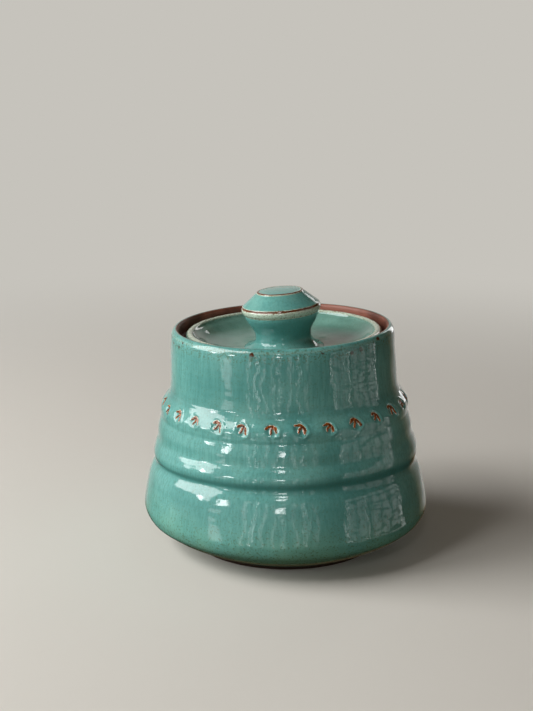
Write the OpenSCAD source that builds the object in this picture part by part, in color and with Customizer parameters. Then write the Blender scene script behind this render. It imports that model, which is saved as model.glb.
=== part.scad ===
// A wheel-thrown stoneware jar with a lid that drops into its mouth and a knob on the lid.
// Millimetres, +Z up. The origin is on the table, under the middle of the jar.
// The belly stands level. Everything above the groove leans a little, as on the real jar.

/* [Belly] */
// Radius of the foot ring, outside
foot_r = 39.5; // [32:0.5:44]
// Radius of the foot ring, inside
foot_in_r = 33; // [24:0.5:36]
// Depth of the hollow inside the foot ring
foot_recess = 1.5; // [1:0.1:2.5]
// Largest radius of the belly
belly_r = 56.5; // [50:0.5:70]
// Height of the largest radius
belly_z = 15.2; // [12:0.2:20]
// Radius where the belly ends in the groove
seam_r = 53; // [48:0.2:60]
// Height of the groove that parts the belly from the upper wall
groove_z = 34.6; // [28:0.2:44]
// Depth of the groove
groove_depth = 1.2; // [0.6:0.1:2]

/* [Upper wall] */
// Lean of the upper wall, the lid and the knob, in degrees, left side down
lean = 1.5; // [0:0.1:3]
// Radius of the swelling just above the groove
swell_r = 52.5; // [48:0.5:60]
// Radius of the second throwing ring
ring_r = 50.2; // [47:0.2:58]
// Radius of the ridge that carries the stamped marks
band_r = 48.8; // [46:0.2:56]
// Height of that ridge above the groove
band_h = 22.4; // [18:0.2:30]
// Radius of the neck where it leaves the shoulder
neck_r = 44.9; // [42:0.1:50]
// Height of the neck's lower end above the groove
neck_h = 30.2; // [27:0.2:40]
// Outer radius of the neck just under the lip
rim_r = 43.9; // [42.5:0.1:49]
// Height of the lip above the groove
rim_h = 53; // [45:0.5:70]

/* [Walls] */
// Thickness of the thrown wall
wall = 4.3; // [3.2:0.1:5.5]
// Thickness of the neck at the lip
neck_wall = 3; // [2.6:0.1:3.6]
// Thickness of the floor
floor_t = 4; // [3:0.1:6]

/* [Stamped marks] */
// Number of marks round the shoulder
mark_count = 28; // [12:1:32]
// Length of one mark
mark_len = 4.4; // [3:0.1:5.5]
// Width of one mark
mark_w = 3; // [2:0.1:4]
// Depth of one mark
mark_depth = 0.8; // [0.4:0.1:1.2]
// Slant of a mark from the level, in degrees
mark_slant = 35; // [0:5:80]

/* [Lid] */
// Width of the ledge inside the mouth that carries the lid
ledge_w = 4.9; // [3.5:0.1:6]
// Height of the lip above that ledge
ledge_drop = 5.7; // [4.5:0.1:8]
// Clearance all round between the lid's edge and the wall of the mouth
lid_clearance = 2.3; // [1:0.1:2.8]
// Clearance between the lid's saucer and the ledge
saucer_clearance = 1.2; // [0.8:0.1:2]
// How far the lid sits off the middle of the mouth
lid_shift = 0.5; // [0:0.1:0.8]
// Gap under the lid's edge where it rests on the ledge
seat_gap = 0.25; // [0.1:0.05:0.4]
// Height of the lid's rolled edge above its seat
lid_edge_h = 3.8; // [3:0.1:5]
// Depth of the lid's well below its rolled edge
well_depth = 7; // [5:0.2:9]
// Radius of the flat middle of the well, under the knob
well_r = 16.5; // [15.5:0.5:20]
// Thickness of the lid
lid_t = 3.9; // [3:0.1:5]

/* [Knob] */
// Tilt of the knob against the lid, in degrees
knob_tilt = 3; // [0:0.5:6]
// Radius of the knob's foot on the lid
knob_foot_r = 14.6; // [12:0.2:15.4]
// Radius of the waist
waist_r = 10.9; // [8:0.1:13]
// Height of the waist above the lid
waist_h = 4.6; // [3.5:0.1:7]
// Largest radius, at the sharp ring round the knob
knob_r = 15.5; // [13:0.1:20]
// Height of that ring above the lid
knob_ring_h = 16.6; // [13:0.2:22]
// Radius of the flat top
knob_top_r = 8.5; // [6:0.1:12]
// Height of the flat top above the lid
knob_h = 22.2; // [18:0.2:30]

/* [Hidden] */
$fn = 96;
glaze = [0.36, 0.62, 0.56];
// Steps of a drawn curve between two of its points
curve_steps = 4;
// Radius of the groove's floor, and how high it runs on inside the leaning wall
groove_r = seam_r - groove_depth;
collar_h = 5;
// Radius of the inside where the two halves meet
inner_seam_r = seam_r - wall - 0.5;
// Height of the ridge that carries the marks
band_z = groove_z + band_h;
// The mouth
mouth_r = rim_r - neck_wall;
ledge_r = mouth_r - ledge_w;
ledge_z = groove_z + rim_h - ledge_drop;
// The lid takes its places from the ledge
lid_r = mouth_r - lid_clearance;
saucer_r = ledge_r - saucer_clearance;
seat_z = ledge_z + seat_gap;
lid_top_z = seat_z + lid_edge_h;
well_z = lid_top_z - well_depth;
// Radius of the lid's rolled edge, in section
roll_r = 1.7;

// Points of an arc from one angle to another
function arc(c, r, from, to, n) =
    [for (i = [0:n]) c + r * [cos(from + (to - from) * i / n), sin(from + (to - from) * i / n)]];

// A smooth curve through the points p: each stretch is a cubic whose ends
// follow the direction of the neighbouring points
function heading(p, i) =
    let (last = len(p) - 1,
         back = p[max(i, 1)] - p[max(i, 1) - 1],
         ahead = p[min(i, last - 1) + 1] - p[min(i, last - 1)],
         a = norm(back), b = norm(ahead))
    i == 0 ? ahead / b : i == last ? back / a : (back * b / a + ahead * a / b) / (a + b);
function between(a, b, a_dir, b_dir, t) =
    let (h = norm(b - a))
    (2 * pow(t, 3) - 3 * pow(t, 2) + 1) * a + (pow(t, 3) - 2 * pow(t, 2) + t) * h * a_dir
    + (3 * pow(t, 2) - 2 * pow(t, 3)) * b + (pow(t, 3) - pow(t, 2)) * h * b_dir;
function smooth(p) = concat(
    [for (i = [0:len(p) - 2]) for (k = [0:curve_steps - 1])
        between(p[i], p[i + 1], heading(p, i), heading(p, i + 1), k / curve_steps)],
    [p[len(p) - 1]]);

// Turned about the lean: the left side goes down, the right side up
module leaning() {
    translate([0, 0, groove_z]) rotate([0, -lean, 0]) translate([0, 0, -groove_z]) children();
}

module turned(outline) {
    rotate_extrude() polygon(outline);
}

// The level half, in section: foot ring, belly, groove and the collar that runs up inside the leaning wall
module belly() {
    floor_z = foot_recess + floor_t;
    inside_r = inner_seam_r + 0.7;
    turned(concat(
        [[0, foot_recess], [foot_in_r - 1, foot_recess], [foot_in_r, 0], [foot_r - 0.8, 0]],
        smooth([
            [foot_r, 0.8],
            [foot_r + (belly_r - foot_r) * 0.28, belly_z * 0.29],
            [foot_r + (belly_r - foot_r) * 0.74, belly_z * 0.6],
            [belly_r - 1.2, belly_z * 0.78],
            [belly_r, belly_z],
            [belly_r - (belly_r - seam_r) * 0.38, belly_z + (groove_z - belly_z) * 0.5],
            [seam_r, groove_z - 2.6],
            [groove_r + 0.3, groove_z - 1.2],
            [groove_r, groove_z - 0.2]]),
        [[groove_r, groove_z + collar_h], [inside_r, groove_z + collar_h]],
        smooth([
            [inside_r, groove_z - 1],
            [inside_r + (belly_r - seam_r) * 0.5, (belly_z + groove_z) / 2 + wall / 2],
            [belly_r - wall, belly_z + wall],
            [belly_r - wall * 1.5, belly_z * 0.84],
            [foot_r + (belly_r - foot_r) * 0.3, floor_z + belly_z * 0.2],
            [foot_r - wall, floor_z]]),
        [[0, floor_z]]));
}

// The leaning half, in section: from its lower edge in the groove over the lip to the ledge for the lid
module upper_wall() {
    swell_z = groove_z + 4;
    ring_z = groove_z + band_h * 0.64;
    neck_z = groove_z + neck_h;
    lip_z = groove_z + rim_h;
    under_ledge_z = ledge_z - 2.4;
    turned(concat(
        [[inner_seam_r + 1.5, groove_z - 3], [inner_seam_r + 1.5, groove_z + 0.8]],
        smooth([
            [groove_r - 0.7, groove_z + 1],
            [groove_r + 0.3, groove_z + 1.8],
            [swell_r, swell_z],
            [ring_r + 0.4, (swell_z + ring_z) / 2 + 1.3],
            [ring_r, ring_z],
            [band_r + 0.4, (ring_z + band_z) / 2 + 0.3],
            [band_r, band_z],
            [(band_r + neck_r) / 2, (band_z + neck_z) / 2 - 1],
            [neck_r, neck_z],
            [(neck_r + rim_r) / 2, (neck_z + lip_z) / 2 - 1],
            [rim_r, lip_z - 3.6],
            [rim_r - 0.3, lip_z - 1.9],
            [rim_r - 1.1, lip_z - 0.7],
            [rim_r - 2, lip_z],
            [mouth_r + 0.25, lip_z - 0.35],
            [mouth_r, lip_z - 1.3]]),
        [[mouth_r, ledge_z], [ledge_r, ledge_z], [ledge_r, under_ledge_z]],
        smooth([
            [mouth_r - 0.4, under_ledge_z - ledge_w],
            [neck_r - wall, neck_z],
            [band_r - wall, band_z],
            [ring_r - wall, ring_z],
            [swell_r - wall, swell_z],
            [inner_seam_r, groove_z]])));
}

// One stamped mark: a slanted oval hollow on the upper edge of the ridge
module mark() {
    half = (mark_len - mark_w) / 2;
    tool_r = (pow(mark_w / 2, 2) + pow(mark_depth, 2)) / (2 * mark_depth);
    rotate([0, -30, 0]) translate([tool_r - mark_depth, 0, 0]) rotate([mark_slant - 90, 0, 0]) {
        cylinder(r = tool_r, h = 2 * half, center = true, $fn = 48);
        for (end = [-half, half]) translate([0, 0, end]) sphere(tool_r, $fn = 48);
    }
}
module marks() {
    for (i = [0:mark_count - 1])
        rotate([0, 0, (i + 0.5) * 360 / mark_count]) translate([band_r - 0.9, 0, band_z + 1.6]) mark();
}

module jar() {
    color(glaze) {
        belly();
        leaning() difference() {
            upper_wall();
            marks();
        }
    }
}

// The lid is a saucer whose rolled edge rests on the ledge
module lid() {
    roll = [lid_r - roll_r, lid_top_z - roll_r];
    base_z = well_z - lid_t;
    color(glaze) leaning() translate([lid_shift, 0, 0]) turned(concat(
        [[0, base_z], [well_r + 1.5, base_z]],
        smooth([
            [well_r + 2, base_z + 0.5],
            [(well_r + saucer_r) / 2 + 2, (base_z + seat_z) / 2 - 0.8],
            [saucer_r - 0.6, seat_z - 1.6],
            [saucer_r, seat_z]]),
        [[lid_r - 1, seat_z]],
        arc([lid_r - 1, seat_z + 1], 1, -60, 0, 4),
        arc(roll, roll_r, 0, 150, 10),
        smooth([
            [lid_r - 2 * roll_r - 0.2, lid_top_z - 1.7],
            [(well_r + lid_r) / 2 + 3, lid_top_z - 1.7 - (well_depth - 1.7) * 0.5],
            [(well_r + lid_r) / 2 - 4, well_z + 0.7],
            [well_r, well_z]]),
        [[0, well_z]]));
}

// The knob is thrown by itself and luted on: a waist, a round shoulder, a sharp ring, a cone and a flat top
module lid_knob() {
    color(glaze) leaning() translate([lid_shift, 0, well_z]) difference() {
        rotate([0, -knob_tilt, 0]) turned(concat(
            [[0, -2], [knob_foot_r + 2.2, -2]],
            smooth([
                [knob_foot_r + 1.6, -1],
                [(knob_foot_r + waist_r) / 2 + 0.2, waist_h * 0.25],
                [waist_r, waist_h],
                [waist_r + (knob_r - waist_r) * 0.3, waist_h + (knob_ring_h - waist_h) * 0.26],
                [waist_r + (knob_r - waist_r) * 0.72, knob_ring_h - 4.6],
                [knob_r - 0.9, knob_ring_h - 3]]),
            arc([knob_r - 1.6, knob_ring_h - 1.3], 1.6, -40, 35, 6),
            smooth([
                [knob_r - 0.2, knob_ring_h],
                [(knob_r + knob_top_r) / 2 + 0.5, (knob_ring_h + knob_h) / 2 + 0.3],
                [knob_top_r + 0.3, knob_h - 0.4]]),
            [[knob_top_r, knob_h], [0, knob_h]]));
        translate([0, 0, -10]) cylinder(r = 3 * knob_foot_r, h = 10);
    }
}

jar();
lid();
lid_knob();
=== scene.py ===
import math

import bpy
import numpy as np
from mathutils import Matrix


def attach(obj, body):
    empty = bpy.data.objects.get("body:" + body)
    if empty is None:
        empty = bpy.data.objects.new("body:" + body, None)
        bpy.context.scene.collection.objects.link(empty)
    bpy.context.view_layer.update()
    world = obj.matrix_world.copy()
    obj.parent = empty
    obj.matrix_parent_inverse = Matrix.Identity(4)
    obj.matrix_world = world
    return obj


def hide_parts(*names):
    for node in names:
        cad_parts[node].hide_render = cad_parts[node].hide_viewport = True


# Looks of a small thrown jar with a drop-in lid: copper green glaze over iron-bearing stoneware.
# Outlines are (radius, height) points in millimetres, and meshes are in metres.

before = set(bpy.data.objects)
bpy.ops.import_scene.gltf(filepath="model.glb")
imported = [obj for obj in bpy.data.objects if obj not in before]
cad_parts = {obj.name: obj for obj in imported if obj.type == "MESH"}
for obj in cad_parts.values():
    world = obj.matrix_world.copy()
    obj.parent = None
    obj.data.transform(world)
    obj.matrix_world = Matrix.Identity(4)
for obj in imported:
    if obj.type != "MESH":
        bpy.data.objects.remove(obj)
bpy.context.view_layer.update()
mm = 0.001
print("frame loaded")


# Camera, at the photograph's angle

view = {
    "place": (-7.61, -499.0, 197.6),  # mm, the lens
    "downDegrees": 13.82,
    "lens": 65.82, "pictureHigh": 36,  # mm
    "nearest": 10,  # mm, what is closer isn't drawn
}

camera = bpy.data.objects.new("camera", bpy.data.cameras.new("camera"))
camera.data.sensor_fit = "VERTICAL"
camera.data.sensor_height = view["pictureHigh"]
camera.data.lens = view["lens"]
camera.data.clip_start = mm * view["nearest"]
camera.location = [mm * value for value in view["place"]]
camera.rotation_euler = (math.radians(90 - view["downDegrees"]), 0, 0)
bpy.context.scene.collection.objects.link(camera)
bpy.context.scene.camera = camera
print("camera placed")


# Curves and meshes

def smoothStep(low, high, value):
    # 0 at low, 1 at high, an S curve (3 t squared minus 2 t cubed) between them
    t = np.clip((value - low) / (high - low), 0, 1)
    return t * t * (3 - 2 * t)


def bell(value, middle, width):
    # A bell curve: 1 at the middle, about a third at one width away
    return np.exp(-((value - middle) / width) ** 2)


def curveThrough(points, spacing):
    # A smooth line through the points: each stretch is a cubic that leaves and arrives
    # along the mean direction of its neighbours. It is then cut to even steps.
    p = np.array(points, float)
    step = np.diff(p, axis=0)
    length = np.linalg.norm(step, axis=1)[:, None]
    slope = step / length
    between = (slope[:-1] * length[1:] + slope[1:] * length[:-1]) / (length[1:] + length[:-1])
    heading = np.vstack([slope[:1], between, slope[-1:]])
    stepsPerStretch = 24
    t = np.linspace(0, 1, stepsPerStretch, endpoint=False)[:, None, None]
    h = length[None]
    fine = ((2 * t**3 - 3 * t**2 + 1) * p[:-1] + (t**3 - 2 * t**2 + t) * h * heading[:-1]
            + (3 * t**2 - 2 * t**3) * p[1:] + (t**3 - t**2) * h * heading[1:])
    fine = np.vstack([fine.transpose(1, 0, 2).reshape(-1, 2), p[-1:]])
    along = np.concatenate([[0], np.cumsum(np.linalg.norm(np.diff(fine, axis=0), axis=1))])
    count = max(2, int(round(along[-1] / spacing)) + 1)
    even = np.linspace(0, along[-1], count)
    return np.column_stack([np.interp(even, along, fine[:, k]) for k in (0, 1)])


def joinLines(*lines):
    # Lines one after the other, without the point that two of them share
    kept = [lines[0]]
    for line in lines[1:]:
        kept.append(line[1:] if np.allclose(line[0], kept[-1][-1]) else line)
    return np.vstack(kept)


def zipFaces(first, second, nearStart, farStart):
    # Faces between a ring of vertices and the next: squares between equal rings,
    # three triangles a step where one ring has twice the vertices of the other
    if first == second:
        i = np.arange(first)
        j = (i + 1) % first
        return np.column_stack([nearStart + i, nearStart + j, farStart + j, farStart + i]).tolist()
    coarse, fine = min(first, second), max(first, second)
    coarseStart, fineStart = (nearStart, farStart) if first < second else (farStart, nearStart)
    i = np.arange(coarse)
    c0, c1 = coarseStart + i, coarseStart + (i + 1) % coarse
    f0, f1, f2 = (fineStart + (2 * i + k) % fine for k in (0, 1, 2))
    triangles = np.vstack([np.column_stack(t) for t in ((c0, f1, f0), (c0, c1, f1), (c1, f2, f1))])
    return (triangles if first < second else triangles[:, ::-1]).tolist()


def ringsToMesh(name, zones, glazeAndPaintedLightValues):
    # zones are grids (rows, columns, xyz) from one pole to the other, and the values hold
    # a grid for each zone under each name: the glaze, with the painted shade and highlight laid on it. Both
    # poles are closed by a point in the middle.
    verts = [zones[0][0].mean(axis=0)[None]]
    faces, start, rings = [], 1, []
    for zone in zones:
        verts.append(zone.reshape(-1, 3))
        for ring in zone:
            rings.append((len(ring), start))
            start += len(ring)
    verts.append(zones[-1][-1].mean(axis=0)[None])
    for (first, nearStart), (second, farStart) in zip(rings[:-1], rings[1:]):
        faces += zipFaces(first, second, nearStart, farStart)
    firstCount, firstStart = rings[0]
    lastCount, lastStart = rings[-1]
    i = np.arange(firstCount)
    faces += np.column_stack([0 * i, firstStart + (i + 1) % firstCount, firstStart + i]).tolist()
    i = np.arange(lastCount)
    faces += np.column_stack([start + 0 * i, lastStart + i, lastStart + (i + 1) % lastCount]).tolist()
    mesh = bpy.data.meshes.new(name)
    mesh.from_pydata((np.vstack(verts) * mm).tolist(), [], faces)
    for key, grids in glazeAndPaintedLightValues.items():
        firstPole, lastPole = grids[0][0].mean()[None], grids[-1][-1].mean()[None]
        values = [firstPole, *(grid.reshape(-1) for grid in grids), lastPole]
        layer = mesh.attributes.new(key, "FLOAT", "POINT")
        layer.data.foreach_set("value", np.concatenate(values).astype(np.float32))
    mesh.polygons.foreach_set("use_smooth", np.ones(len(mesh.polygons), bool))
    mesh.validate()
    mesh.update()
    piece = bpy.data.objects.new(name, mesh)
    bpy.context.scene.collection.objects.link(piece)
    return piece


def lean(points, weight, degrees, pivot):
    # Turned about the Y axis through the pivot height, left side down, by weight times the angle
    angle = -math.radians(degrees) * weight
    x, z = points[..., 0], points[..., 2] - pivot
    return np.stack([x * np.cos(angle) + z * np.sin(angle), points[..., 1],
                     z * np.cos(angle) - x * np.sin(angle) + pivot], axis=-1)


# The jar

jarShape = {
    "leanDegrees": 1.5,  # of all that is above the groove
    "grooveHeight": 34.6, "neckRoot": 63.5, "lipHeight": 87.6,
    "mouthRadius": 40.9, "ledgeRadius": 36.0, "ledgeHeight": 81.9,
    "wobble": 0.2, "ringRipple": 0.016, "frontRise": 2.0,  # mm: the hand, fine rings, the groove
    "bandHeight": 58.5, "markCount": 28, "markReach": 5,
    "markHalfWidth": 2.35, "markHalfHeight": 1.85, "markDepth": 0.75,
    "markTurnDegrees": 28, "turnSway": 14, "sizeSway": 0.12,  # degrees and share, from mark to mark
    "ribHeight": 0.6, "ribWidth": 0.4, "ribTop": 1.7, "ribFanDegrees": (-52, -3, 48),
    "ribStarts": (0.1, 0.7), "ribEnds": (3.6, 2.6),  # mm below the top, where it swells and fades
    "burrHeight": 0.22,  # clay pushed up around a mark
    "groovePoolAndShade": 0.95, "neckPool": 0.45, "markPool": 0.5,  # how thick the glaze gathers, up to 1; in and above the groove it is also painted shade
    "bareLip": (42.2, 41.5), "insideGlaze": (76, 70), "bareFoot": (3, 4),  # mm, where glaze starts and ends
    "columns": 280, "bandColumns": 1120,
}


def stampedMark(right, up, number, shape):
    # One stamped mark seen from outside: an oval hollow, whose depth falls off with the fourth
    # power of the distance, with three ribs that fan out downwards from its upper end, and a
    # burr of clay around it. Sines of its number turn and size each mark a little differently.
    # Returns how far the wall moves, how thin the glaze lies, and how deep in the hollow it is.
    turn = np.radians(shape["markTurnDegrees"] + shape["turnSway"] * np.sin(number * 2.1 + 0.6))
    grow = 1 + shape["sizeSway"] * np.sin(number * 3.3)
    across = (right * np.cos(turn) - up * np.sin(turn)) / grow
    along = (right * np.sin(turn) + up * np.cos(turn)) / grow
    across = across + 0.18 * np.sin(2.3 * along + number)  # no stamp comes off quite straight
    oval = np.sqrt((across / shape["markHalfWidth"]) ** 2 + (along / shape["markHalfHeight"]) ** 2)
    hollow = np.exp(-oval**4)
    above = along - shape["ribTop"]
    ribs = np.zeros_like(across)
    for fan in shape["ribFanDegrees"]:
        angle = math.radians(fan)
        down = -above * math.cos(angle) + across * math.sin(angle)
        off = across * math.cos(angle) + above * math.sin(angle)
        length = smoothStep(*shape["ribStarts"], down) * smoothStep(*shape["ribEnds"], down)
        ribs = np.maximum(ribs, bell(off, 0, shape["ribWidth"]) * length)
    ribs = ribs * np.exp(-(oval / 1.15) ** 6)  # they end at the oval's edge
    burr = bell(oval, 1.35, 0.3) * smoothStep(-1.5, 1.5, across + along)  # on its upper right
    move = -shape["markDepth"] * hollow + shape["ribHeight"] * ribs + shape["burrHeight"] * burr
    upperEdge = bell(oval, 0.7, 0.3) * smoothStep(-0.2, 1.0, along)
    thin = np.clip(1.75 * np.maximum(ribs**0.55, 0.9 * upperEdge) - 0.4, 0, 1)  # on the tops only
    return move, thin, hollow


def jarWall(profile, columns, outside, shape):
    # A stretch of the outline turned round the axis. On the outside, the radius also takes a sum
    # of slow waves in angle and height, a fine ripple up the wall, and the stamped marks.
    # All that is above the groove leans. Returns the points and their glaze values, among them the painted
    # shade above the groove.
    angle = np.arange(columns) * 2 * math.pi / columns
    r, z = profile[:, :1] + 0 * angle, profile[:, 1:] + 0 * angle
    a = angle[None, :] + 0 * r
    thin, poolAndShade = np.zeros_like(r), np.zeros_like(r)
    lip, groove, band = shape["lipHeight"], shape["grooveHeight"], shape["bandHeight"]
    if outside:
        wall = smoothStep(3, 12, z) * smoothStep(lip - 1, lip - 9, z)
        waves = (0.5 * np.sin(2 * a + 0.06 * z + 0.8) + 0.35 * np.sin(3 * a - 0.09 * z + 2.1)
                 + 0.25 * np.sin(7 * a + 0.21 * z) + 0.2 * np.sin(13 * a - 0.34 * z + 1.3)
                 + 0.12 * np.sin(23 * a + 0.5 * z + 0.4))
        ripple = np.sin(2.1 * z + 0.5 * np.sin(a)) + 0.6 * np.sin(3.7 * z + 1.1 * np.cos(a) + 1)
        r = r + wall * (shape["wobble"] * waves + shape["ringRipple"] * ripple)
        near = (z > band - shape["markReach"]) & (z < band + shape["markReach"])
        if near.any():
            spacing = 2 * math.pi / shape["markCount"]
            number = np.floor(a / spacing)
            right = (np.mod(a, spacing) - spacing / 2) * r + 0.22 * np.sin(number * 2.4)
            up = z - band + 0.2 * np.sin(number * 1.7 + 1)
            move, markThin, hollow = stampedMark(right, up, number, shape)
            r = r + np.where(near, move, 0)
            thin = np.where(near, markThin, 0)
            poolAndShade = np.where(near, shape["markPool"] * hollow, 0)
        # Glaze gathers in the groove and at the root of the neck, and runs off the lip. The deep tone in and
        # just above the groove is also painted shade, where the swell's underside faces down.
        poolAndShade = np.maximum(poolAndShade, shape["groovePoolAndShade"] * bell(z, groove + 1, 2))
        poolAndShade = np.maximum(poolAndShade, shape["neckPool"] * bell(z, shape["neckRoot"], 2.6))
        lipEdge = lip - 1.2
        thin = np.maximum(thin, 0.2 * bell(z, lipEdge, 0.8) + 0.13 * bell(z, lipEdge - 2.4, 2.2))
        bare = smoothStep(*shape["bareLip"], r) * smoothStep(80, 84, z)
        # The groove runs a little higher at the front
        front = smoothStep(0.1, 1, -np.sin(a))
        z = z + shape["frontRise"] * bell(z, groove + 1, 8) * front
    else:
        bare = 1 - smoothStep(*shape["insideGlaze"], z) * smoothStep(*shape["bareFoot"], z)
    points = np.stack([r * np.cos(a), r * np.sin(a), z], axis=-1)
    weight = smoothStep(groove - 0.8, groove + 4.5, z)
    points = lean(points, weight, shape["leanDegrees"], groove)
    return points, {"thinGlazeAndHighlight": thin, "thickGlazeAndShade": poolAndShade, "bareClay": bare}


def makeJar(shape):
    # Outlines from the middle of the foot, up the outside, over the lip and down the inside to the
    # middle of the floor. Each is turned round the axis, and a ring has as many columns as the
    # next one, half as many or twice as many.
    lip, ledge = shape["lipHeight"], shape["ledgeHeight"]
    mouth, ledgeR = shape["mouthRadius"], shape["ledgeRadius"]
    footIn, footOut, bandLow, bandHigh = (31.6, 1.5), (38.6, 1.5), (49, 53.3), (45.1, 64)
    lipInside, ledgeOut, ledgeIn = (mouth, 86.3), (mouth - 0.5, ledge), (ledgeR + 0.6, ledge)
    floorEdge = (35.2, 5.6)
    foot = joinLines(
        curveThrough([(0.5, 1.5), (12, 1.5), footIn], 3),
        curveThrough([footIn, (32.6, 1.1), (33.2, 0.3), (34.2, 0)], 0.5),
        curveThrough([(34.2, 0), (35.5, 0), (37.2, 0), (38.0, 0.4), footOut], 0.5))
    foot[:, 1] = np.maximum(foot[:, 1], 0)
    lower = curveThrough([
        footOut, (44.3, 4.4), (52.1, 9.1), (55.3, 11.9), (56.5, 15.2), (56.2, 19.5), (55.2, 24.9),
        (53.9, 30), (52.9, 32.2), (52.1, 33.4), (51.8, 34.6), (52.05, 35.8), (52.4, 37), (52.5, 38.6),
        (51.7, 41.8), (50.6, 44.8), (50.2, 48.9), (49.4, 52), bandLow], 0.75)
    band = curveThrough([bandLow, (48.95, 55.2), (48.8, 57), (47.9, 58.9), (46.5, 60.8), (45.6, 62.6),
                         bandHigh], 0.26)
    upper = curveThrough([bandHigh, (44.85, 66), (44.6, 70), (44.4, 75.2), (44.1, 80.5), (43.9, 84),
                          (43.65, 85.7), (43, 86.9), (41.9, lip), (41.15, 87.25), lipInside], 0.7)
    inside = joinLines(
        curveThrough([lipInside, (mouth, 84), (mouth, ledge + 0.5), ledgeOut], 0.6),
        curveThrough([ledgeOut, ledgeIn], 0.8),
        curveThrough([ledgeIn, (ledgeR, ledge - 0.6), (ledgeR, ledge - 2.2), (37.6, 77), (40.3, 73.5),
                      (40.6, 65), (44.4, 57), (45.9, 49), (48.1, 39), (48.3, 34), (50.6, 25),
                      (52.1, 19.5), (50, 12.6), (43, 8.2), floorEdge], 1.5),
        curveThrough([floorEdge, (18, 5.5), (0.5, 5.5)], 3))
    # The band has the most columns, and its first and last rings lead over to them
    columns, fine = shape["columns"], shape["bandColumns"]
    stretches = [jarWall(profile, count, outside, shape) for profile, count, outside in (
        (foot[:8], columns // 4, False), (foot[8:], columns // 2, False), (lower[1:], columns, True),
        (band[1:3], fine // 2, True), (band[3:-3], fine, True), (band[-3:-1], fine // 2, True),
        (upper, columns, True), (inside[1:-6], columns // 2, False), (inside[-6:], columns // 4, False))]
    zones = [points for points, values in stretches]
    glazeAndPaintedLightValues = {key: [values[key] for points, values in stretches] for key in stretches[0][1]}
    return ringsToMesh("jar_thrown", zones, glazeAndPaintedLightValues)


# The lid

lidShape = {
    "shift": 0.5,  # mm off the middle of the mouth
    "edgeRadius": 38.6, "top": 85.95, "roll": 1.7,
    "seat": 82.15, "saucerRadius": 34.8, "base": 75.05,
    "wellHeight": 78.95, "wellRadius": 16.5,
    "wobble": 0.05, "columns": 256,
}


def turnedPiece(name, profile, values, columns, wobble, place):
    # An outline turned round its own axis and put in its place. The radius takes two waves,
    # of two and of five to the turn, that fade to nothing at the middle.
    angle = np.arange(columns) * 2 * math.pi / columns
    r, z = profile[:, :1], profile[:, 1:]
    waves = np.sin(2 * angle + 0.7) + 0.5 * np.sin(5 * angle + 0.15 * z + 1.9)
    r = r + smoothStep(0.5, 6, r) * wobble * waves
    points = np.stack([r * np.cos(angle), r * np.sin(angle), z + 0 * angle], axis=-1)
    grids = {key: [value[:, None] + 0 * angle] for key, value in values.items()}
    return ringsToMesh(name, [place(points)], grids)


def makeLid(shape, jar):
    # A saucer's outline from the middle of the underside, round the rolled edge and down into the
    # well. It is moved to the side, and it leans as the jar's mouth does.
    edge, top, seat, roll = shape["edgeRadius"], shape["top"], shape["seat"], shape["roll"]
    well, wellR, saucer = shape["wellHeight"], shape["wellRadius"], shape["saucerRadius"]
    underside = (wellR + 1.5, shape["base"])
    profile = joinLines(
        curveThrough([(0.5, shape["base"]), underside], 3),
        curveThrough([underside, (27.6, 77.6), (saucer - 0.6, seat - 1.7), (saucer, seat)], 1.2),
        curveThrough([(saucer, seat), (edge - 1, seat), (edge - 0.2, seat + 0.6), (edge, seat + 1.6),
                      (edge - 0.2, top - 1), (edge - 0.9, top - 0.25), (edge - roll, top),
                      (edge - roll - 1, top - 0.3), (edge - 2 * roll, top - 1.3),
                      (edge - 5.2, top - 2.6), (30.6, well + 2.4), (26.5, well + 1.1),
                      (21.5, well + 0.35), (wellR, well)], 0.5),
        curveThrough([(wellR, well), (9, well), (0.5, well)], 1.5))
    r, z = profile[:, 0], profile[:, 1]
    pastEdge = np.arange(len(r)) - np.argmax(r)  # above 0 on the upper side
    glazed = smoothStep(seat + 0.6, seat + 1.4, z) + (z > well - 0.2) * (r < edge - 4)
    glazed = np.where(pastEdge < 0, glazed * (z > seat + 0.8), glazed)
    values = {
        # The pale band along the top of the rolled edge is painted highlight, laid on with the thin-glaze
        # tone
        "thinGlazeAndHighlight": 0.42 * bell(z, top, 0.9) * (r > edge - 4),
        "thickGlazeAndShade": 0.35 * bell(r, 24, 7) * (pastEdge > 0),
        "bareClay": 1 - np.clip(glazed, 0, 1),
    }

    def place(points):
        points = points + np.array([shape["shift"], 0, 0])
        return lean(points, 1.0, jar["leanDegrees"], jar["grooveHeight"])
    return turnedPiece("lid_thrown", profile, values, shape["columns"], shape["wobble"], place)


# The knob, with heights from the floor of the lid's well

knobShape = {
    "tiltDegrees": 3.0, "fullTiltHeight": 4,  # mm up, above which all of it tilts
    "footRadius": 14.6, "waistRadius": 10.9, "waistHeight": 4.6,
    "ringRadius": 15.5, "ringHeight": 15.2, "height": 22.65,
    "edgeLine": 16.62, "collarLine": 13.85, "topLineRadius": 8.7,  # mm, where the glaze breaks
    "wobble": 0.06, "columns": 224,
}


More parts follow.
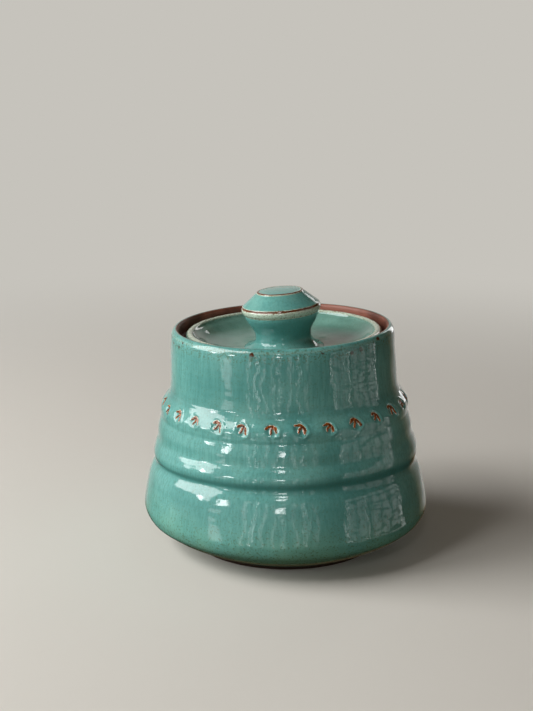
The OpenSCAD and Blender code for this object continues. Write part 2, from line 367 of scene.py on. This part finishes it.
def makeKnob(shape, lid, jar):
    # The knob's outline from the middle of its foot, in to the waist, out to the ring and up over
    # the cone to the flat top. The foot stays flat on the lid, and the rest tilts.
    foot, height = shape["footRadius"], shape["height"]
    profile = joinLines(
        curveThrough([(0.5, 0), (foot + 1, 0)], 2),
        curveThrough([(foot + 1, 0), (foot - 0.6, 0.45), (12.5, 1.4), (11.2, 2.9),
                      (shape["waistRadius"], shape["waistHeight"]), (11.1, 6.2), (12.2, 8.4),
                      (13.6, 10.7), (14.45, 12.8), (14.6, 13.6), (14.9, 14), (15.35, 14.5),
                      (shape["ringRadius"], shape["ringHeight"]), (15.45, 16), (15.1, 16.45),
                      (15.2, 16.7), (14.9, 17.1), (13.9, 17.9), (12, 19.5), (10.2, 21), (9.2, 21.8),
                      (8.95, 22.15), (8.55, 22.3), (8.1, 22.2), (6.5, 22.35), (3, 22.6),
                      (0.5, height)], 0.3))
    r, z = profile[:, 0], profile[:, 1]
    edgeLine = bell(z, shape["edgeLine"], 0.4) * (r > 14.4)
    topLine = bell(r, shape["topLineRadius"], 0.5) * (z > 21)
    collar = 0.33 * smoothStep(14, 14.5, z) * smoothStep(16.6, 16.1, z)  # the pale band below the edge
    collarLine = 0.62 * bell(z, shape["collarLine"], 0.35) * (r > 13)
    values = {
        "thinGlazeAndHighlight": np.clip(edgeLine + topLine + collar + collarLine, 0, 1),
        "thickGlazeAndShade": 0.75 * smoothStep(14, 11, z) * smoothStep(1, 5, z),
        "bareClay": 0.0 * r,
    }

    def place(points):
        weight = smoothStep(0, shape["fullTiltHeight"], points[..., 2])
        points = lean(points, weight, shape["tiltDegrees"], 0)
        points = points + np.array([lid["shift"], 0, lid["wellHeight"]])
        return lean(points, 1.0, jar["leanDegrees"], jar["grooveHeight"])
    return turnedPiece("knob_thrown", profile, values, shape["columns"], shape["wobble"], place)


# Materials

def linear(hexCode):
    # An sRGB hex colour as linear red, green, blue and alpha
    parts = [int(hexCode[i:i + 2], 16) / 255 for i in (1, 3, 5)]
    return tuple(c / 12.92 if c <= 0.04045 else ((c + 0.055) / 1.055) ** 2.4 for c in parts) + (1.0,)


def addNode(tree, kind, inputs=None, **settings):
    # A node with its settings, its constants and its links
    node = tree.nodes.new(kind)
    for key, value in settings.items():
        setattr(node, key, value)
    for key, value in (inputs or {}).items():
        if isinstance(value, bpy.types.NodeSocket):
            tree.links.new(value, node.inputs[key])
        else:
            node.inputs[key].default_value = value
    return node


glazeLook = {
    "turquoise": "#67A69F", "deep": "#3F7D78", "pale": "#84B9AE", "leafGreen": "#6FA58F",
    "olive": "#4E5A34", "cream": "#BFCDB9", "rust": "#97501E", "darkRust": "#4A230E",
    # The darkest clay tone is painted shade: the bare foot is drawn near black, as if it stands in shadow on
    # the floor
    "clay": "#8A5240", "clayDark": "#5A3022", "footClay": "#2B1A12",
    "roughness": 0.045, "speckRoughness": 0.05, "clayRoughness": 0.5, "refraction": 1.52,
    "streakMm": 0.9, "streakDraw": 0.09,  # across, and how much the streaks are drawn out upright
    "mottleMm": 16, "cloudMm": 38.4, "skinMm": 5,
    "speckMm": 0.7,  # finer on the real glaze, and drawn as coarse as it needs to show
    "spotGapMm": 4.5, "spotReach": 0.25, "raggedMm": 1.2, "strayMm": 1.6,
    "greenHeights": (30, 4), "footShadeHeights": (4, 2),  # mm; the second pair is where the painted shade on the foot starts and where it is full
    "reliefMm": 0.6, "reliefStrength": 0.25,
}


def makeCopperGreenGlaze(name, look):
    # Copper green glaze over iron-bearing stoneware, dipped and fired in reduction: glassy,
    # thick and deep in hollows, pale and then rust brown where it breaks over an edge. It also carries
    # painted shade on the foot and above the jar's groove, and a painted highlight along the lid's edge.
    material = bpy.data.materials.new(name)
    material.use_nodes = True
    tree = material.node_tree
    tree.nodes.clear()
    place = addNode(tree, "ShaderNodeTexCoord").outputs["Object"]
    height = addNode(tree, "ShaderNodeSeparateXYZ", {0: place}).outputs["Z"]
    thin, thickAndShade, bare = (addNode(tree, "ShaderNodeAttribute", attribute_name=key).outputs["Fac"]
                         for key in ("thinGlazeAndHighlight", "thickGlazeAndShade", "bareClay"))
    upright = addNode(tree, "ShaderNodeMapping",
                      {"Vector": place, "Scale": (1, 1, look["streakDraw"])}).outputs[0]
    streaks, mottle, cloud, specks, skin = (
        addNode(tree, "ShaderNodeTexNoise", {"Vector": vector, "Scale": 1 / (sizeMm * mm),
                                             "Detail": detail, "Roughness": rough}).outputs[0]
        for vector, sizeMm, detail, rough in (
            (upright, look["streakMm"], 3, 0.55), (place, look["mottleMm"], 3, 0.55),
            (place, look["cloudMm"], 2, 0.55), (place, look["speckMm"], 2, 0.4),
            (place, look["skinMm"], 2, 0.55)))

    # Iron spots: the middles of Voronoi cells, with the pattern shaken so that they are ragged
    shake = addNode(tree, "ShaderNodeTexNoise", {"Vector": place, "Scale": 1 / (look["raggedMm"] * mm)})
    shake = addNode(tree, "ShaderNodeVectorMath", {0: shake.outputs["Color"], 3: look["strayMm"] * mm},
                    operation="SCALE")
    ragged = addNode(tree, "ShaderNodeVectorMath", {0: shake.outputs[0], 1: place}, operation="ADD")
    spots = addNode(tree, "ShaderNodeTexVoronoi", {"Vector": ragged.outputs[0],
                                                   "Scale": 1 / (look["spotGapMm"] * mm)}).outputs[0]
    # Where the glaze is thin, the specks decide where the iron breaks through
    overHalf = addNode(tree, "ShaderNodeMath", {0: specks, 1: 0.5}, operation="SUBTRACT", use_clamp=True)
    breaks = addNode(tree, "ShaderNodeMath", {0: thin, 1: overHalf.outputs[0]},
                     operation="ADD", use_clamp=True).outputs[0]

    # Masks: the pattern each one follows, where on it the mask starts and ends, and its first and
    # last value, with an S curve between them. Only the pooled glaze follows its pattern evenly, and it also
    # lays painted shade in and above the groove.
    pooled = addNode(tree, "ShaderNodeMath", {0: thickAndShade, 1: 0.85}, operation="MULTIPLY")
    masks = {"pooled": pooled.outputs[0]}
    greenTop, greenFull = (value * mm for value in look["greenHeights"])
    footShadeTop, footShadeFull = (value * mm for value in look["footShadeHeights"])
    reach = look["spotReach"]
    for key, pattern, start, end, first, last in (
            ("streaked", streaks, 0.34, 0.7, 0, 0.42),
            ("mottled", mottle, 0.45, 0.75, 0, 0.5),
            ("clouded", cloud, 0.42, 0.7, 0, 0.45),
            ("lowDown", height, greenTop, greenFull, 0, 1),
            ("patchy", mottle, 0.25, 0.6, 0.35, 0.95),
            ("speckled", specks, 0.56, 0.68, 0, 1),
            ("moreBelow", height, greenTop, greenFull, 0.22, 0.72),
            # The thin-glaze tone also draws the painted highlight along the lid's edge
            ("wornThinAndHighlit", thin, 0.16, 0.4, 0, 1),
            ("finelySpeckled", specks, 0.5, 0.62, 0, 1),
            ("byAnEdge", thin, 0.03, 0.14, 0, 0.45),
            ("spotted", spots, reach, 0.6 * reach, 0, 1),
            ("onAnEdge", thin, 0.09, 0.15, 0, 1),
            ("brokenThrough", breaks, 0.47, 0.72, 0, 1),
            ("burnt", breaks, 0.62, 1.0, 0, 1),
            ("burntStreaks", streaks, 0.42, 0.56, 0, 1),
            ("clayMottled", mottle, 0.35, 0.65, 0, 1),
            ("paintedShadeUnderFoot", height, footShadeTop, footShadeFull, 0, 1),
            ("shine", specks, 0.5, 0.7, look["roughness"], look["roughness"] + look["speckRoughness"])):
        masks[key] = addNode(tree, "ShaderNodeMapRange",
                             {"Value": pattern, "From Min": start, "From Max": end,
                              "To Min": first, "To Max": last}, interpolation_type="SMOOTHSTEP").outputs[0]

    # Colours laid one over the other, each where its masks are
    stacks = []
    for base, layers in (
            ("turquoise", (("deep", "streaked"), ("pale", "mottled"), ("deep", "clouded"),
                           ("deep", "pooled"), ("leafGreen", "lowDown", "patchy"),
                           ("olive", "speckled", "moreBelow"), ("cream", "wornThinAndHighlit"),
                           ("olive", "finelySpeckled", "byAnEdge"), ("darkRust", "spotted", "onAnEdge"),
                           ("rust", "brokenThrough"), ("darkRust", "burnt", "burntStreaks"))),
            # The clay turns near black low on the foot: painted shade
            ("clay", (("clayDark", "clayMottled"), ("footClay", "paintedShadeUnderFoot")))):
        colour = linear(look[base])
        for tone, firstMask, *otherMasks in layers:
            amount = masks[firstMask]
            for mask in otherMasks:
                amount = addNode(tree, "ShaderNodeMath", {0: amount, 1: masks[mask]},
                                 operation="MULTIPLY").outputs[0]
            colour = addNode(tree, "ShaderNodeMix", {0: amount, 6: colour, 7: linear(look[tone])},
                             data_type="RGBA").outputs[2]
        stacks.append(colour)
    colour = addNode(tree, "ShaderNodeMix", {0: bare, 6: stacks[0], 7: stacks[1]}, data_type="RGBA")

    roughness = addNode(tree, "ShaderNodeMath", {0: bare, 1: look["clayRoughness"], 2: masks["shine"]},
                        operation="MULTIPLY_ADD", use_clamp=True)
    relief = addNode(tree, "ShaderNodeMath", {0: streaks, 1: 0.16}, operation="MULTIPLY")
    relief = addNode(tree, "ShaderNodeMath", {0: skin, 1: 0.7, 2: relief.outputs[0]},
                     operation="MULTIPLY_ADD")
    bump = addNode(tree, "ShaderNodeBump", {"Height": relief.outputs[0], "Strength": look["reliefStrength"],
                                            "Distance": look["reliefMm"] * mm})
    shader = addNode(tree, "ShaderNodeBsdfPrincipled",
                     {"Base Color": colour.outputs[2], "Roughness": roughness.outputs[0],
                      "IOR": look["refraction"], "Normal": bump.outputs[0]})
    addNode(tree, "ShaderNodeOutputMaterial", {"Surface": shader.outputs[0]})
    return material


# The lid is drawn greyer than the jar, with broader streaks
lidGlazeLook = {"turquoise": "#6E9A8D", "deep": "#4E7B70", "pale": "#8DB5A6", "leafGreen": "#6E9A8D",
                "streakMm": 5, "spotReach": 0.01}
# The knob has the jar's glaze, without the rust spots of its rim
knobGlazeLook = {"spotReach": 0.01, "speckMm": 0.55, "rust": "#6E3C20"}


# Make the pieces, and let each stand for its CAD node

glaze = makeCopperGreenGlaze("copperGreenGlazeDippedOnStoneware", glazeLook)
lidGlaze = makeCopperGreenGlaze("copperGreenGlazeGreyerOnTheLid", {**glazeLook, **lidGlazeLook})
knobGlaze = makeCopperGreenGlaze("copperGreenGlazeOnTheKnob", {**glazeLook, **knobGlazeLook})
print("glazes made")
pieces = (
    (makeJar(jarShape), "jar", "jar_body", "jar_glaze", glaze),
    (makeLid(lidShape, jarShape), "lid", "lid_body", "lid_glaze", lidGlaze),
    (makeKnob(knobShape, lidShape, jarShape), "lid_knob", "lid_body", "knob_glaze", knobGlaze),
)
for piece, node, body, slot, finish in pieces:
    piece.data.materials.append(finish)
    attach(piece, body)
    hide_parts(node)
    print("made", piece.name, len(piece.data.polygons), "faces")


# Floor, lamps and world

studio = {
    "aim": (0, 0, 0.05),  # metres, the middle of the jar
    "floorSize": 6.0, "fadeStart": 0.14, "fadeEnd": 0.62,  # metres, where it turns into the backdrop
    "floorColour": "#D6D2CA", "floorRoughness": 0.85, "backdropColour": "#C6C3BC",
    "bounceColour": "#6A5638",  # the light that the floor gives back to the jar
    "fillColour": "#C2A071", "worldLight": 0.07,
    # What the glaze mirrors: little, but for the pale parts, each along an axis from where it
    # starts to where it is full, and how strong it is there
    "dimShown": 0.13,
    "paleParts": {"behind": ("Y", 0.68, 0.94, 1.0), "notUnder": ("Z", -0.37, -0.3, 1.0),
                  "above": ("Z", -0.25, -0.05, 1.0), "left": ("X", -0.3, -0.85, 0.9)},
    "warmUpTo": 0.2, "paleFrom": 0.7,  # strengths between which the fill turns to the backdrop
}

# Each lamp: compass angle from the front (right is plus) and height angle in degrees,
# distance, width and height in metres, and radiance
lamps = [
    ("sideSoftbox", -84, 30, 1.1, 0.8, 0.9, 6.8),
    ("leftPanelHigh", -50, 44, 1.2, 0.20, 0.34, 12.0),
    ("leftPanelLow", -52, 8, 1.2, 0.14, 0.15, 17.0),
    ("farLeftPanel", -74, 8, 1.2, 0.11, 0.11, 16.0),
    ("leftPanelDim", -57, -8, 1.4, 0.22, 0.3, 2.2),
    ("frontPanelHigh", -5, 33, 1.2, 0.12, 0.12, 12.0),
    ("frontPanelLow", -5, 7, 1.2, 0.12, 0.16, 15.0),
    ("edgeGlow", 152, 12, 1.4, 0.2, 0.8, 2.4),
]
# Upright strips in front: compass angle, width and radiance
for index, (compass, wide, radiance) in enumerate((
        (-33, 0.025, 5), (-26, 0.016, 9), (-19, 0.035, 3.2), (-10, 0.02, 4), (-3, 0.014, 6),
        (6, 0.035, 2.6), (14, 0.012, 5.5), (23, 0.025, 2))):
    lamps.append((f"frontStrip{index}", compass, 1, 1.4, wide, 1.0, radiance))
# A dim grid on the right: rows of panels at a height angle and of a height, each with the same
# compass angles and widths, and three narrow bright bars
for row, (up, high) in enumerate((
        (-19, 0.09), (-12.5, 0.09), (-8, 0.09), (-3.5, 0.09), (3, 0.16), (12, 0.16))):
    for column, (compass, wide) in enumerate(((53, 0.16), (61, 0.16), (75, 0.2), (85, 0.2), (96, 0.2))):
        lamps.append((f"rightPanel{row}{column}", compass, up, 1.5, wide, high, 0.85))
for index, compass in enumerate((48.5, 66.5, 103)):
    lamps.append((f"rightBar{index}", compass, -2, 1.5, 0.012, 0.9, 7.5))


def addLamp(name, compass, up, distance, wide, high, radiance):
    # A rectangle of light on a sphere around the jar's middle, turned to face it
    a, e = math.radians(compass), math.radians(up)
    light = bpy.data.lights.new(name, "AREA")
    light.shape = "RECTANGLE"
    light.size, light.size_y = wide, high
    light.energy = radiance * wide * high * math.pi
    lamp = bpy.data.objects.new(name, light)
    offset = distance * np.array([math.sin(a) * math.cos(e), -math.cos(a) * math.cos(e), math.sin(e)])
    lamp.location = np.array(studio["aim"]) + offset
    lamp.rotation_euler = (math.pi / 2 - e, 0, a)
    bpy.context.scene.collection.objects.link(lamp)


for lamp in lamps:
    addLamp(*lamp)
print("placed", len(lamps), "lamps")

size = studio["floorSize"]
floorMesh = bpy.data.meshes.new("floor")
floorMesh.from_pydata([(-size, -size, 0), (size, -size, 0), (size, size, 0), (-size, size, 0)], [],
                      [(0, 1, 2, 3)])
floor = bpy.data.objects.new("floor", floorMesh)
bpy.context.scene.collection.objects.link(floor)


def seenDirectly(tree):
    # 1 for what the camera sees, also in a reflection or through glass
    path = addNode(tree, "ShaderNodeLightPath")
    seen = addNode(tree, "ShaderNodeMath", {0: path.outputs["Is Camera Ray"],
                                            1: path.outputs["Is Glossy Ray"]}, operation="MAXIMUM")
    return addNode(tree, "ShaderNodeMath", {0: seen.outputs[0], 1: path.outputs["Is Transmission Ray"]},
                   operation="MAXIMUM").outputs[0]


# Matt paper, rolled out and up into the backdrop: far from the jar it takes the backdrop's tone
paint = bpy.data.materials.new("mattPaperFloor")
paint.use_nodes = True
tree = paint.node_tree
tree.nodes.clear()
seen = seenDirectly(tree)
near = addNode(tree, "ShaderNodeTexCoord").outputs["Object"]
distance = addNode(tree, "ShaderNodeVectorMath", {0: near}, operation="LENGTH").outputs["Value"]
fade = addNode(tree, "ShaderNodeMapRange", {"Value": distance, "From Min": studio["fadeStart"],
                                            "From Max": studio["fadeEnd"]},
               interpolation_type="SMOOTHSTEP").outputs[0]
fade = addNode(tree, "ShaderNodeMath", {0: fade, 1: seen}, operation="MULTIPLY").outputs[0]
tone = addNode(tree, "ShaderNodeMix", {0: seen, 6: linear(studio["bounceColour"]),
                                       7: linear(studio["floorColour"])}, data_type="RGBA").outputs[2]
paper = addNode(tree, "ShaderNodeBsdfPrincipled",
                {"Base Color": tone, "Roughness": studio["floorRoughness"]})
glow = addNode(tree, "ShaderNodeEmission", {"Color": linear(studio["backdropColour"])})
mixed = addNode(tree, "ShaderNodeMixShader", {0: fade, 1: paper.outputs[0], 2: glow.outputs[0]})
addNode(tree, "ShaderNodeOutputMaterial", {"Surface": mixed.outputs[0]})
floor.data.materials.append(paint)
floor.visible_glossy = False  # so that the glaze also mirrors the lamps that reach below the floor

# The backdrop is pale, and lights the jar little. The glaze mirrors it behind the jar, but not far
# down, and on the left, but not low.
world = bpy.data.worlds.new("studio")
bpy.context.scene.world = world
world.use_nodes = True
sky = world.node_tree
sky.nodes.clear()
way = addNode(sky, "ShaderNodeSeparateXYZ", {0: addNode(sky, "ShaderNodeTexCoord").outputs["Generated"]})
shownAt = {}
for key, (axis, start, full, strongest) in studio["paleParts"].items():
    shownAt[key] = addNode(sky, "ShaderNodeMapRange",
                           {"Value": way.outputs[axis], "From Min": start, "From Max": full,
                            "To Min": studio["dimShown"], "To Max": strongest}).outputs[0]
behind = addNode(sky, "ShaderNodeMath", {0: shownAt["behind"], 1: shownAt["notUnder"]}, operation="MULTIPLY")
beside = addNode(sky, "ShaderNodeMath", {0: shownAt["left"], 1: shownAt["above"]}, operation="MULTIPLY")
mirrored = addNode(sky, "ShaderNodeMath", {0: behind.outputs[0], 1: beside.outputs[0]}, operation="MAXIMUM")
glossy = addNode(sky, "ShaderNodeLightPath").outputs["Is Glossy Ray"]
shown = addNode(sky, "ShaderNodeMapRange", {"Value": glossy, "To Min": 1.0, "To Max": mirrored.outputs[0]})
strength = addNode(sky, "ShaderNodeMapRange", {"Value": seenDirectly(sky), "To Min": studio["worldLight"],
                                               "To Max": shown.outputs[0]}).outputs[0]
paleness = addNode(sky, "ShaderNodeMapRange", {"Value": strength, "From Min": studio["warmUpTo"],
                                               "From Max": studio["paleFrom"]}).outputs[0]
skyColour = addNode(sky, "ShaderNodeMix", {0: paleness, 6: linear(studio["fillColour"]),
                                           7: linear(studio["backdropColour"])}, data_type="RGBA").outputs[2]
backdrop = addNode(sky, "ShaderNodeBackground", {"Color": skyColour, "Strength": strength})
addNode(sky, "ShaderNodeOutputWorld", {"Surface": backdrop.outputs[0]})
bpy.context.scene.view_settings.view_transform = "Standard"
print("floor and world made")

bpy.context.view_layer.update()
